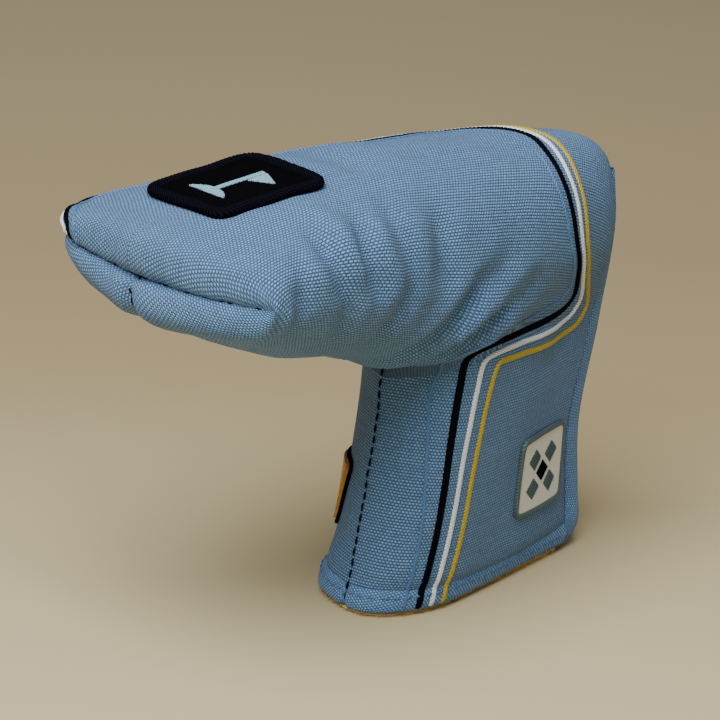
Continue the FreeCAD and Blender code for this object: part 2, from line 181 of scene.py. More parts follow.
def arm_line(x, low, depth, side):
    """(|y|, z) down one side of the arm, from the ridge to its lowest point (|y|, z)."""
    mid = float(middle(x)) + (4.0 * float(smooth((-70 - x) / 20)) if side > 0 else 0.0)
    half = max(float(wide(x)) - depth, low[0] + 0.05)
    top = max(float(ridge(x)) - depth, mid + 1.0)
    power = 2 / (np.interp(x, [-75, -50], [3.0, 2.4]) if side < 0 else np.interp(x, [-92, -62], [2.15, 2.4]))
    a = np.linspace(0, math.pi / 2, 80)
    upper = np.stack([half * np.sin(a) ** power, mid + (top - mid) * np.cos(a) ** power], -1)
    t = a * 2 / math.pi
    flowing = smooth((x + 12) / 20)
    round_power = 0.95 if side < 0 else np.interp(x, [-92, -60], [1.15, 0.95])
    inward = (1 - flowing) * np.cos(a) ** round_power + flowing * (1 + np.cos(math.pi * t)) / 2
    down = (1 - flowing) * np.sin(a) ** round_power + flowing * t
    lower = np.stack([low[0] + (half - low[0]) * inward, mid - (mid - low[1]) * down], -1)
    upper[0, 0], lower[-1, 0] = 0.0, low[0]
    return np.concatenate([even(upper, UPPER_ROWS), even(lower, LOWER_ROWS)[1:]])


def cover_grid(side, depth):
    """Points [column, row] of one side of the cover at a depth under its outside.

    Columns run from the mouth seam at the toe to the heel edge, rows from the ridge down.  Rows
    after the arm's last one belong to the neck, and are nan in the columns in front of it."""
    grid = np.full((NECK_START + NECK_COLUMNS + 1, ARM_ROWS + NECK_ROWS + 1, 3), np.nan)
    cap = arm_line(TOE_SEAM, (0.0, float(under(TOE_SEAM)) + depth), depth, side)
    closing = -math.cos(MOUTH_ANGLE)
    lip = mouth_height(side * cap[:, 0])
    lower = np.arange(ARM_ROWS + 1) > UPPER_ROWS
    for i, turn in enumerate(np.linspace(MOUTH_ANGLE, 0, CAP_COLUMNS + 1)[:-1]):
        slimmer = 2.2 * smooth((MOUTH_ANGLE - turn) / 1.0) * lower
        bow = 1 - (cap[:, 0] / cap[:, 0].max()) ** (4.5 - slimmer if side > 0 else 2.5)
        grid[i, :ARM_ROWS + 1, 0] = TOE_SEAM - (CAP_REACH - depth) * math.sin(turn) * bow
        grid[i, :ARM_ROWS + 1, 1] = side * cap[:, 0]
        grid[i, :ARM_ROWS + 1, 2] = lip + (cap[:, 1] - lip) * (math.cos(turn) + closing) / (1 + closing)
    for i, x in enumerate(np.linspace(TOE_SEAM, NECK_FRONT, ARM_COLUMNS + 1)[:-1]):
        y, z = arm_line(x, (0.0, float(under(x)) + depth), depth, side).T
        grid[CAP_COLUMNS + i, :ARM_ROWS + 1] = np.stack([np.full(len(y), x), side * y, z], -1)
    for i, p in enumerate(FRACTIONS):
        x = NECK_FRONT + (HEEL_END - NECK_FRONT) * p
        low_z = float(crease(x)) + depth
        y, z = arm_line(x, (neck_point(p, low_z, side, depth, 0.0)[1], low_z), depth, side).T
        x_line = NECK_FRONT + (heel(z) - NECK_FRONT) * p
        grid[NECK_START + i, :ARM_ROWS + 1] = np.stack([x_line, side * y, z], -1)
        for j in range(1, NECK_ROWS + 1):
            z = low_z + (SHELL_FOOT - low_z) * j / NECK_ROWS
            x_neck, y = neck_point(p, z, side, depth, float(smooth(j / 5)))
            grid[NECK_START + i, ARM_ROWS + j] = (x_neck, side * y, z)
    return grid


def fabric_coordinates(grid):
    """Distance along the rows and down the columns: the directions of the weave."""
    u = grid[:, :, 0].copy()
    u[:CAP_COLUMNS] = TOE_SEAM - np.cumsum(gaps(grid[:CAP_COLUMNS + 1])[::-1], axis=0)[::-1]
    v = np.concatenate([np.zeros((len(grid), 1)), np.cumsum(gaps(grid, 1), axis=1)], 1)
    pinned = int(np.argmin(np.abs(FRACTIONS - 0.6)))
    back, z = grid[NECK_START:], grid[NECK_START:, :, 2]
    along = np.concatenate([np.zeros((1, z.shape[1])), np.cumsum(gaps(back), axis=0)])
    along += back[pinned, :, 0] - along[pinned]
    below = np.clip(np.arange(z.shape[1]) - ARM_ROWS, 0, None)
    share = smooth(below / 2)
    u[NECK_START:] = u[NECK_START:] * (1 - share) + along * share
    level = v[NECK_START + pinned, ARM_ROWS] + z[pinned, ARM_ROWS] - z
    on_neck = (1 - smooth((z - 50) / 35)) * smooth(FRACTIONS / 0.2)[:, None]
    share = (1 - on_neck) * (1 - share)
    v[NECK_START:] = v[NECK_START:] * share + level * (1 - share)
    return np.stack([u, v], -1)


def grid_faces(grid, side):
    """Corner indices (into the grid's flat list) of its cells, facing outwards."""
    there = ~np.isnan(grid[:, :, 0])
    number = np.arange(there.size).reshape(there.shape)
    whole = there[:-1, :-1] & there[1:, :-1] & there[:-1, 1:] & there[1:, 1:]
    corners = [number[:-1, :-1], number[:-1, 1:], number[1:, 1:], number[1:, :-1]]
    faces = np.stack([c[whole] for c in corners], -1)
    return faces if side < 0 else faces[:, ::-1]


def point_normals(points, faces):
    a, b, c, d = (points[faces[:, k]] for k in range(4))
    across = np.cross(c - a, d - b)
    total = np.zeros_like(points)
    for k in range(4):
        np.add.at(total, faces[:, k], across)
    return unit(total)


# ---------------------------------------------------------------- wrinkles
# {(side, plane of the two coordinates): [(line, depth, half width)]}
XZ, XY = (0, 2), (0, 1)
WRINKLES = {
    (-1, XZ): [
        ([(-77, 107), (-73.5, 101), (-71, 95), (-68, 89)], 1.5, 2.6),
        ([(-61, 108), (-62.5, 100), (-60.5, 94), (-56, 87)], 1.2, 2.8),
        ([(-52, 109), (-51.5, 101), (-49, 94), (-46, 88)], 0.7, 3.0),
        ([(-37, 105), (-37.6, 97), (-37.4, 91), (-35, 84)], 0.9, 3.2),
        ([(-68, 92), (-68.5, 86), (-67.5, 79)], 0.9, 2.4),
        ([(-46, 89), (-50, 85.5), (-54, 80), (-56, 75)], 1.0, 2.6),
        ([(-22, 88), (-27, 82.5), (-33, 75.5), (-39, 70), (-46, 66)], 2.0, 2.4),
        ([(-12, 79), (-20, 73.5), (-27, 69), (-33, 65.5)], 1.6, 2.0),
        ([(-1, 84), (-9, 80), (-16, 77.5)], 0.8, 3.0),
        ([(-14, 92), (-18, 88), (-25, 84)], 0.6, 3.0),
        ([(-88, 97), (-84, 93), (-83, 88)], 0.7, 2.6),
        ([(-93, 92.5), (-91.5, 90), (-91.3, 87)], 1.0, 1.2),
        ([(20, 62), (10, 58), (0, 57)], 0.35, 4.0),
    ],
    (-1, XY): [
        ([(-48, -14), (-46, -6), (-47, 3), (-49, 12)], 0.9, 4.5),
    ],
    (1, XZ): [
        ([(-72, 107), (-70, 99), (-66, 91)], 1.2, 3.0),
        ([(-55, 108), (-54, 98), (-51, 88)], 1.0, 3.2),
        ([(-40, 104), (-38, 95), (-40, 86)], 0.8, 3.4),
        ([(-20, 87), (-28, 79), (-36, 72), (-45, 67)], 1.9, 2.5),
        ([(-8, 79), (-17, 74), (-26, 69), (-32, 65)], 1.5, 2.1),
        ([(4, 86), (-6, 82), (-14, 79)], 0.8, 3.2),
        ([(-62, 84), (-58, 78), (-58, 73)], 0.8, 2.6),
        ([(22, 60), (12, 57), (0, 58)], 0.5, 4.0),
        ([(10, 30), (0, 34), (-10, 33)], 0.5, 4.5),
    ],
}
WRINKLE_SCALE = 1.6       # over the depths above
# how much each seam pulls in, swells beside itself, its length, and how strongly it puckers
SEAMS = {"underside": (1.0, 0.45, 72, 1.0), "neck": (0.35, 0.2, 62, 0.4), "mouth": (0.0, 0.4, 84, 1.0)}


def line_distance(points, line):
    """Distance of each point from a polyline, and how far along it that is from 0 to 1."""
    line = np.asarray(line, float)
    lengths, starts = gaps(line), run_length(line)
    best, where = np.full(len(points), 1e9), np.zeros(len(points))
    for a, b, start, length in zip(line, line[1:], starts, lengths):
        t = np.clip((points - a) @ (b - a) / length ** 2, 0, 1)
        d = np.linalg.norm(points - (a + t[:, None] * (b - a)), axis=1)
        closer = d < best
        best[closer], where[closer] = d[closer], (start + t * length)[closer]
    return best, where / starts[-1]


def seam_lines():
    """The seams that pull the fabric in: underside, front of the neck, and the mouth at the toe."""
    turns = np.linspace(MOUTH_ANGLE, 0, 9)[:-1]
    drop = (np.cos(turns) - math.cos(MOUTH_ANGLE)) / (1 - math.cos(MOUTH_ANGLE))
    arm = np.linspace(TOE_SEAM, NECK_FRONT, 24)
    xs = np.concatenate([TOE_SEAM - CAP_REACH * np.sin(turns), arm])
    zs = np.concatenate([MOUTH_Z + (under(TOE_SEAM) - MOUTH_Z) * drop, under(arm)])
    underside = np.stack([xs, 0 * xs, zs], -1)
    zs = np.linspace(61, 0, 24)
    neck = np.stack([front(zs), 0 * zs, zs], -1)
    ys = np.linspace(-37, 37, 31)
    bow = 1 - (np.abs(ys) / 37.5) ** np.where(ys > 0, 4.5, 2.5)
    mouth = np.stack([TOE_SEAM - CAP_REACH * math.sin(MOUTH_ANGLE) * bow, ys, mouth_height(ys)], -1)
    return {"underside": underside, "neck": neck, "mouth": mouth}


def lumps(points, seed, sizes, height):
    """Gentle unevenness: a sum of slanted waves of the given sizes."""
    rng = np.random.default_rng(seed)
    total = np.zeros(len(points))
    for size in sizes:
        way = rng.normal(size=3)
        way /= np.linalg.norm(way)
        total += np.sin(points @ way * (2 * math.pi / size) + rng.uniform(0, 6.28))
    return total * height / math.sqrt(len(sizes))


def wrinkle_heights(points, calm, edge):
    """How far each point of the cover moves out along its normal."""
    z = points[:, 2]
    beside_hem = smooth((104 - z) / 12) * smooth((z - 6) / 10)
    groove = (1 - smooth((edge - 5.5) / 5.0)) + 0.9 * np.exp(-((edge - 7.2) / 0.9) ** 2)
    height = -groove * beside_hem
    height += lumps(points, 5, [19, 24, 31, 38, 47], 0.32) * calm
    height += lumps(points, 8, [8, 9.5, 11, 13], 0.07) * calm
    for side, plane, line, depth, width in ((*way, *row) for way, rows in WRINKLES.items() for row in rows):
        d, t = line_distance(points[:, plane], line)
        taper = smooth(np.minimum(t, 1 - t) * 3.5 + 0.15)
        hollow = np.exp(-(d / width) ** 2) - 0.5 * np.exp(-((d - 2 * width) / (1.2 * width)) ** 2)
        on_side = points[:, 1] * side > 0 if plane == XZ else points[:, 2] > 95
        height -= WRINKLE_SCALE * depth * hollow * taper * on_side * calm
    for name, line in seam_lines().items():
        d, t = line_distance(points, line)
        pull, swell, length, puckered = SEAMS[name]
        along = t * length
        if name == "mouth":
            height *= smooth(d / 3.0)
            height += 0.8 * np.exp(-((d - 2.2) / 1.3) ** 2)
        pucker = 0.3 * np.sin(along * 0.95 + 1.3 * np.sin(along * 0.31)) * np.exp(-d / 4.0)
        height += (-pull * np.exp(-(d / 1.2) ** 2) + swell * np.exp(-((d - 4.5) / 2.8) ** 2)
                   + pucker * puckered) * calm
    return height


def new_object(name, data):
    made = bpy.data.objects.new(name, data)
    bpy.context.scene.collection.objects.link(made)
    return made


CLOTH = {"quality": 5, "mass": 0.12, "tension_stiffness": 12, "compression_stiffness": 12,
         "shear_stiffness": 5, "bending_stiffness": 1.5, "use_pressure": True, "uniform_pressure_force": 3.0,
         "shrink_min": -0.03, "vertex_group_mass": "pinned"}
CLOTH_FRAMES = 20
CLOTH_CAP = 1.5           # how far the simulation may move a point


def relax(points, faces, pinned, cap):
    """Inflates the fabric a little between its pinned seams, with Blender's cloth, in centimetres."""
    mesh = bpy.data.meshes.new("relaxing")
    mesh.from_pydata((points * 0.1).tolist(), [], faces.tolist())
    sheet = new_object("relaxing", mesh)
    group = sheet.vertex_groups.new(name="pinned")
    for i, weight in enumerate(pinned):
        if weight > 0:
            group.add([i], float(weight), "REPLACE")
    settings = sheet.modifiers.new("Cloth", "CLOTH").settings
    for name, value in CLOTH.items():
        setattr(settings, name, value)
    settings.effector_weights.gravity = 0
    for step in range(1, CLOTH_FRAMES + 1):
        bpy.context.scene.frame_set(step)
    moved = bpy.data.meshes.new_from_object(sheet.evaluated_get(bpy.context.evaluated_depsgraph_get()))
    result = np.zeros(len(points) * 3)
    moved.vertices.foreach_get("co", result)
    bpy.context.scene.frame_set(1)
    bpy.data.objects.remove(sheet)
    shift = result.reshape(-1, 3) * 10 - points
    far = np.linalg.norm(shift, axis=1, keepdims=True)
    return shift * (cap * np.tanh(far / cap) / np.maximum(far, 1e-9))


WELD = 500                # points that agree to 1/500 mm are one


def shape_cover():
    """How far wrinkles and the cloth simulation move each grid point of both sides: {side: shifts}."""
    rest = {side: cover_grid(side, 0.0) for side in (-1, 1)}
    flat = np.concatenate([rest[side].reshape(-1, 3) for side in (-1, 1)])
    size = len(flat) // 2
    used = ~np.isnan(flat[:, :1])
    flat = np.where(used, flat, 0.0)
    keys = np.round(flat * WELD).astype(int)
    _, first, welded = np.unique(keys, axis=0, return_index=True, return_inverse=True)
    welded = welded.reshape(-1)
    points = flat[first]
    faces = welded[np.concatenate([grid_faces(rest[-1], -1), grid_faces(rest[1], 1) + size])]
    faces = faces[[len(set(f)) == 4 for f in faces.tolist()]]
    x, z = points[:, 0], points[:, 2]
    edge = heel(np.minimum(z, TOP_OF_SLIT)) - x
    calm = smooth((z - HEM) / 6) * smooth((edge - HEM) / 5)
    points = points + point_normals(points, faces) * wrinkle_heights(points, calm, edge)[:, None]
    shift = np.zeros_like(points)
    from_mouth, _ = line_distance(points, seam_lines()["mouth"])
    slack = 0.4 * calm * smooth((z - 60) / 10) * smooth(from_mouth / 10)
    points = points - point_normals(points, faces) * slack[:, None]
    pinned = 1 - smooth((z - HEM) / 5) * smooth((edge - HEM) / 4)
    for line in seam_lines().values():
        d, _ = line_distance(points, line)
        pinned = np.maximum(pinned, 1 - smooth((d - 1.5) / 2.5))
    shift = relax(points, faces, pinned, CLOTH_CAP)
    moves = np.where(used, (points + shift)[welded] - flat, 0.0)
    return {-1: moves[:size].reshape(rest[-1].shape), 1: moves[size:].reshape(rest[1].shape)}


# ---------------------------------------------------------------- materials
def rgb(*values):
    """Linear colour of an sRGB one given as 0 to 255."""
    parts = [v / 255 for v in values]
    return tuple(p / 12.92 if p <= 0.04045 else ((p + 0.055) / 1.055) ** 2.4 for p in parts) + (1.0,)


class Shader:
    """A node material under construction."""

    def __init__(self, name, colour, roughness, sheen=0.0, sheen_roughness=0.4, metal=0.0):
        self.material = bpy.data.materials.new(name)
        self.material.use_nodes = True
        self.tree = self.material.node_tree
        self.surface = self.tree.nodes["Principled BSDF"]
        for socket, value in (("Base Color", colour), ("Roughness", roughness), ("Sheen Weight", sheen),
                              ("Sheen Roughness", sheen_roughness), ("Metallic", metal)):
            self.set(self.surface, socket, value)

    def dull(self):
        """Takes the shine off, for black cloth and thread."""
        self.set(self.surface, "Specular IOR Level", 0.02)
        return self.material

    def set(self, node, socket, value):
        target = node.inputs[socket]
        if isinstance(value, bpy.types.NodeSocket):
            self.tree.links.new(value, target)
        else:
            target.default_value = value

    def node(self, kind, inputs, output=0, **settings):
        """An output of a new node with these settings and inputs."""
        node = self.tree.nodes.new("ShaderNode" + kind)
        for setting, value in settings.items():
            setattr(node, setting, value)
        for socket, value in inputs.items():
            self.set(node, socket, value)
        return node.outputs[output]

    def math(self, operation, *values):
        return self.node("Math", dict(enumerate(values)), operation=operation)

    def plus(self, a, b):
        return self.math("ADD", a, b)

    def minus(self, a, b):
        return self.math("SUBTRACT", a, b)

    def times(self, a, b):
        return self.math("MULTIPLY", a, b)

    def mix(self, factor, a, b):
        return self.node("Mix", {0: factor, 6: a, 7: b}, 2, data_type="RGBA")

    def place(self, kind):
        return self.node("TexCoord", {}, kind)

    def noise(self, scale, detail=3.0):
        return self.node("TexNoise", {"Vector": self.place("Object"), "Scale": scale, "Detail": detail})

    def spread(self, value, low, high, to_low=0.0, to_high=1.0):
        return self.node("MapRange", dict(enumerate((value, low, high, to_low, to_high))))

    def axes(self, kind):
        """The first two coordinates of a place: UV is the weave's, in millimetres."""
        parts = self.tree.nodes.new("ShaderNodeSeparateXYZ")
        self.set(parts, 0, self.place(kind))
        return parts.outputs[0], parts.outputs[1]

    def random(self, a, b):
        point = self.node("CombineXYZ", {0: a, 1: b})
        return self.node("TexWhiteNoise", {"Vector": point}, noise_dimensions="2D")

    def colour(self, value):
        self.set(self.surface, "Base Color", value)

    def bump(self, height, distance):
        inputs = {"Strength": 1.0, "Distance": distance * MM, "Height": height}
        self.set(self.surface, "Normal", self.node("Bump", inputs))


HALF_ROOT = 0.7071        # turns the weave by 45 degrees


def woven(name, light, dark, pitch=(0.84, 0.74), depth=0.28, turned=False):
    """Heavy plain weave: rows of rounded floats, each row half a float along from the last. Its colour holds
    painted light: a painted highlight on the crown of each float and painted shade in the gaps between
    floats.
    """
    s = Shader(name, light, 0.7, sheen=0.05)
    u, v = s.axes("UV")
    if turned:
        u, v = s.times(s.plus(u, v), HALF_ROOT), s.times(s.minus(v, u), HALF_ROOT)
    wander = s.times(s.minus(s.noise(120.0, 2.0), 0.5), 0.5)
    rows = s.plus(s.math("DIVIDE", v, pitch[1]), wander)
    row = s.math("FLOOR", rows)
    half_on = s.times(s.math("FLOORED_MODULO", row, 2.0), 0.5)
    floats = s.plus(s.math("DIVIDE", u, pitch[0]), half_on)
    number = s.math("FLOOR", floats)
    across, along = (s.math("COSINE", s.times(s.minus(s.math("FRACT", at), 0.5), math.pi))
                     for at in (rows, floats))
    crown = s.times(s.math("POWER", across, 0.8), s.math("POWER", along, 0.7))
    fibres = s.noise(1900.0, 2.0)
    uneven = s.spread(s.random(number, row), 0.0, 1.0, 0.86, 1.1)
    streak = s.spread(s.random(row, 3.0), 0.0, 1.0, 0.94, 1.05)
    faded = s.spread(s.noise(22.0, 4.0), 0.3, 0.7, 0.93, 1.06)
    share = s.times(s.times(crown, uneven), s.times(streak, faded))
    share = s.plus(share, s.times(s.minus(fibres, 0.5), 0.25))
    # painted highlight and shade: the colour runs from the dark colour in the gaps between floats to the
    # light colour on their crowns
    s.colour(s.mix(s.spread(share, 0.18, 1.0), dark, light))
    s.bump(s.plus(crown, s.times(fibres, 0.12)), depth)
    return s.material


def thread(name, colour, shade, pitch=0.9, slant=1.6, sheen=0.1, roughness=0.5):
    """Twisted embroidery thread: slanted plies along the piece."""
    s = Shader(name, colour, roughness, sheen=sheen)
    u, v = s.axes("UV")
    plies = s.math("SINE", s.times(s.plus(u, s.times(v, slant)), 2 * math.pi / pitch))
    ply = s.spread(plies, -1.0, 1.0)
    fibres = s.noise(2600.0, 2.0)
    share = s.plus(s.times(ply, 0.75), s.times(fibres, 0.4))
    s.colour(s.mix(s.spread(share, 0.1, 1.0), shade, colour))
    s.bump(share, 0.12)
    return s.dull() if sheen == 0 else s.material


def twill(name, colour, shade, pitch=0.7):
    """Flat patch cloth with fine diagonal ribs."""
    s = Shader(name, colour, 0.85)
    u, v = s.axes("UV")
    ribs = s.math("SINE", s.times(s.plus(u, v), 2 * math.pi / pitch))
    cross = s.math("SINE", s.times(s.minus(u, v), 2 * math.pi / (pitch * 0.6)))
    height = s.spread(s.plus(ribs, s.times(cross, 0.4)), -1.4, 1.4)
    worn = s.spread(s.noise(90.0, 4.0), 0.35, 0.7, 0.85, 1.0)
    s.colour(s.mix(s.times(height, worn), shade, colour))
    s.bump(height, 0.12)
    return s.dull()


def pile(name, colour, shade, scale, depth, sheen=0.5):
    """Felt, plush or foam: a soft surface of fine random relief."""
    s = Shader(name, colour, 0.95, sheen=sheen, sheen_roughness=0.6)
    fine, broad = s.noise(scale, 4.0), s.noise(scale * 0.13, 3.0)
    share = s.plus(s.times(fine, 0.7), s.times(broad, 0.3))
    s.colour(s.mix(s.spread(share, 0.32, 0.68), shade, colour))
    s.bump(fine, depth)
    return s.material


def steel(name):
    s = Shader(name, rgb(170, 172, 176), 0.32, metal=1.0)
    scratch = s.noise(900.0, 5.0)
    s.set(s.surface, "Roughness", s.spread(scratch, 0.3, 0.7, 0.22, 0.45))
    s.bump(scratch, 0.01)
    return s.material


def floor_cloth(name):
    """Matt paper with painted shade: darker away from the camera round the object, then lighter again from
    about 0.3 m farther off, standing in for how the lamps' light falls on the floor.
    """
    s = Shader(name, rgb(180, 165, 130), 0.85)
    x, y = s.axes("Object")
    away = s.plus(s.times(x, 0.656), s.times(y, 0.755))
    uneven = s.times(s.minus(s.noise(3.0, 3.0), 0.5), 0.2)
    # painted shade: the darker band and the lighter far floor are painted falloff of the lamps' light, with
    # some random unevenness
    cloud = s.plus(s.spread(away, -0.12, 0.14), uneven)
    near = s.mix(s.spread(cloud, 0.0, 1.0), rgb(186, 175, 140), rgb(154, 140, 106))
    s.colour(s.mix(s.spread(away, 0.3, 1.0), near, rgb(191, 177, 145)))
    s.bump(s.noise(900.0, 3.0), 0.03)
    return s.material


FINISHES = {
    # woven finishes: the first colour is the float crowns with a painted highlight, the second the gaps
    # between floats with painted shade
    "woven_shell": (woven, rgb(102, 148, 199), rgb(45, 73, 105)),
    "hem_fabric": (woven, rgb(112, 160, 214), rgb(50, 84, 124), (0.8, 0.7), 0.26, True),
    "pouch_fabric": (woven, rgb(70, 74, 84), rgb(20, 22, 28), (0.7, 0.6), 0.2),
    "foam": (pile, rgb(226, 218, 196), rgb(196, 186, 160), 900.0, 0.25, 0.1),
    "plush": (pile, rgb(224, 184, 62), rgb(150, 112, 26), 700.0, 0.5, 0.8),
    "mustard_felt": (pile, rgb(214, 152, 36), rgb(158, 104, 20), 1100.0, 0.3, 0.3),
    "blue_thread": (thread, rgb(76, 122, 172), rgb(30, 62, 102)),
    "dark_thread": (thread, rgb(20, 30, 48), rgb(4, 8, 16), 0.9, 1.6, 0, 0.7),
    "black_thread": (thread, rgb(14, 14, 24), rgb(1, 1, 3), 0.9, 1.6, 0, 0.8),
    "white_thread": (thread, rgb(232, 236, 240), rgb(150, 158, 168)),
    "yellow_thread": (thread, rgb(190, 168, 2), rgb(108, 90, 0)),
    "pale_blue_thread": (thread, rgb(128, 178, 200), rgb(54, 98, 122), 0.5, 0.2, 0.2, 0.4),
    "grey_green_thread": (thread, rgb(74, 100, 104), rgb(24, 40, 44)),
    "black_twill": (twill, rgb(8, 8, 12), rgb(1, 1, 2)),
    "cream_twill": (twill, rgb(226, 228, 222), rgb(178, 180, 174)),
    "magnet_steel": (steel,),
}
MATERIALS = {name: make(name, *values) for name, (make, *values) in FINISHES.items()}


# ---------------------------------------------------------------- mesh making
def solid(name, points, faces, uvs, slot, smooth_angle=50.0):
    """A mesh object from points in millimetres, with one fabric coordinate per point."""
    mesh = bpy.data.meshes.new(name)
    mesh.from_pydata((np.asarray(points, float) * MM).tolist(), [], [list(map(int, f)) for f in faces])
    layer = mesh.uv_layers.new(name="weave")
    corner = np.zeros(len(mesh.loops), np.int32)
    mesh.loops.foreach_get("vertex_index", corner)
    layer.data.foreach_set("uv", np.asarray(uvs, float)[corner].astype(np.float32).ravel())
    mesh.materials.append(MATERIALS[slot])
    mesh.shade_smooth()
    mesh.set_sharp_from_angle(angle=math.radians(smooth_angle))
    piece = new_object(name, mesh)
    return piece


def boundary(faces):
    """Directed edges that belong to one face only."""
    ways = {}
    for face in faces:
        for a, b in zip(face, list(face[1:]) + [face[0]]):
            ways[(a, b)] = True
    return [(a, b) for a, b in ways if (b, a) not in ways]


def thick_sheet(outer, inner, faces, uvs):
    """Points, faces, coordinates and rim edges of a closed solid between two sheets of the same layout."""
    used = np.unique(faces)
    renumber = np.full(len(outer), -1)
    renumber[used] = np.arange(len(used))
    faces = renumber[faces].tolist()
    n = len(used)
    rim = boundary(faces)
    shell = faces + [[k + n for k in reversed(f)] for f in faces] + [[b, a, a + n, b + n] for a, b in rim]
    edges = rim + [(a + n, b + n) for a, b in rim]
    return np.concatenate([outer[used], inner[used]]), shell, np.concatenate([uvs[used]] * 2), edges


def subdivided(piece, sharp_edges=(), angle=50.0):
    """One level of subdivision, with the given edges kept sharp, applied to the mesh."""
    if sharp_edges:
        wanted = {tuple(sorted(e)) for e in sharp_edges}
        values = [1.0 if tuple(sorted(e.vertices)) in wanted else 0.0 for e in piece.data.edges]
        piece.data.attributes.new("crease_edge", "FLOAT", "EDGE").data.foreach_set("value", values)
    modifier = piece.modifiers.new("Subdivide", "SUBSURF")
    modifier.levels = modifier.render_levels = 1
    fine = bpy.data.meshes.new_from_object(piece.evaluated_get(bpy.context.evaluated_depsgraph_get()))
    piece.modifiers.clear()
    piece.data = fine
    fine.set_sharp_from_angle(angle=math.radians(angle))
    return piece


def ring_solid(rings, closed=False):
    """Faces of a tube of rings [ring, point], with end caps unless it closes on itself."""
    count, size = len(rings), len(rings[0])
    faces = []
    for i in range(count if closed else count - 1):
        a, b = i * size, ((i + 1) % count) * size
        faces += [[a + k, a + (k + 1) % size, b + (k + 1) % size, b + k] for k in range(size)]
    if not closed:
        faces.append(list(range(size))[::-1])
        faces.append([(count - 1) * size + k for k in range(size)])
    return faces


def outwards(points, faces):
    """The faces, turned over if the solid they close has a negative volume."""
    volume = 0.0
    for face in faces:
        a = points[face[0]]
        for b, c in zip(face[1:], face[2:]):
            volume += float(np.dot(a, np.cross(points[b], points[c])))
    return faces if volume > 0 else [list(reversed(f)) for f in faces]


def tube(rings, uvs, closed=False):
    """(points, faces, uvs) of the solid through some rings of points."""
    points = np.array(rings).reshape(-1, 3)
    return points, outwards(points, ring_solid(rings, closed)), np.array(uvs)


def square_cells(steps):
    """Corner indices of the cells of a square grid."""
    row = steps + 1
    return [(i * row + j, (i + 1) * row + j, (i + 1) * row + j + 1, i * row + j + 1)
            for i in range(steps) for j in range(steps)]


def joined(parts):
    """Several (points, faces, uvs) as one."""
    points, faces, uvs, start = [], [], [], 0
    for p, f, uv in parts:
        points.append(p)
        uvs.append(uv)
        faces += [[k + start for k in face] for face in f]
        start += len(p)
    return np.concatenate(points), faces, np.concatenate(uvs)


# ---------------------------------------------------------------- the padded layers
# depth of the outside and the inside, first grid column, and finish
LAYERS = {"outer_shell": (0.0, 0.85, 0, "woven_shell"), "foam_pad": (0.95, 3.8, 3, "foam"),
          "plush_lining": (3.9, 5.7, CAP_COLUMNS, "plush")}
INNER_END = 0.86          # foam and lining end at this fraction of the neck


def make_layers(moves):
    """Shell, foam and lining of both sides: {(name, half): object}."""
    made = {}
    for side, half, _ in SIDES:
        weave = fabric_coordinates(cover_grid(side, 0.0)).reshape(-1, 2)
        for name, (outer_depth, inner_depth, first, slot) in LAYERS.items():
            outer = cover_grid(side, outer_depth) + moves[side]
            inner = cover_grid(side, inner_depth) + moves[side]
            if first:
                outer[:first] = np.nan
                outer[NECK_START + int(np.sum(FRACTIONS < INNER_END)):] = np.nan
            faces = grid_faces(outer, side)
            points, faces, uvs, rim = thick_sheet(outer.reshape(-1, 3), inner.reshape(-1, 3), faces, weave)
            piece = solid(name + "_" + half + "_fabric", points, faces, uvs, slot)
            if name == "outer_shell":
                subdivided(piece, rim)
            made[name, half] = piece
    return made


def surface_tree(pieces):
    """Search tree over the outsides of some meshes, in millimetres."""
    points, faces, start = [], [], 0
    for piece in pieces:
        points += [v.co * 1000 for v in piece.data.vertices]
        faces += [[k + start for k in p.vertices] for p in piece.data.polygons]
        start += len(piece.data.vertices)
    return BVHTree.FromPolygons(points, faces)


def on_surface(tree, point, way):
    """Where a ray from outside meets the cover: position and normal."""
    way = Vector(way).normalized()
    hit, normal, _, _ = tree.ray_cast(Vector(point) - way * 120, way)
    if hit is None:
        hit, normal, _, _ = tree.find_nearest(Vector(point))
    if normal.dot(way) > 0:
        normal = -normal
    return hit, normal


def spline(points, step):
    """Evenly spaced points on a smooth line through the given ones."""
    p = np.asarray(points, float)
    along = run_length(p)
    at = np.linspace(0, along[-1], 1500)
    dense = np.stack([curve(np.stack([along, column], -1))(at) for column in p.T], -1)
    return even(dense, max(int(round(gaps(dense).sum() / step)), 2))


def settle(tree, line, reach=3.0):
    """Lays a line on the outermost surface beneath it: points and smoothed normals."""
    points, normals = [], []
    for p in line:
        near, n, _, _ = tree.find_nearest(Vector(p))
        if near.z > 70 or near.x < -42:
            centre = Vector((min(max(near.x, -90.0), 40.0), 0.0, 88.0))
        else:
            centre = Vector((max(near.x, -15.0), 0.0, near.z))
        if n.dot(near - centre) < 0:
            n = -n
        hit, normal, _, _ = tree.ray_cast(near + n * reach, -n)
        points.append(hit if hit is not None else near)
        normals.append(n)
    points, normals = np.array([list(p) for p in points]), np.array([list(n) for n in normals])
    for _ in range(3):
        for rows in (points, normals):
            rows[1:-1] = (rows[:-2] + 2 * rows[1:-1] + rows[2:]) / 4
    return points, unit(normals)


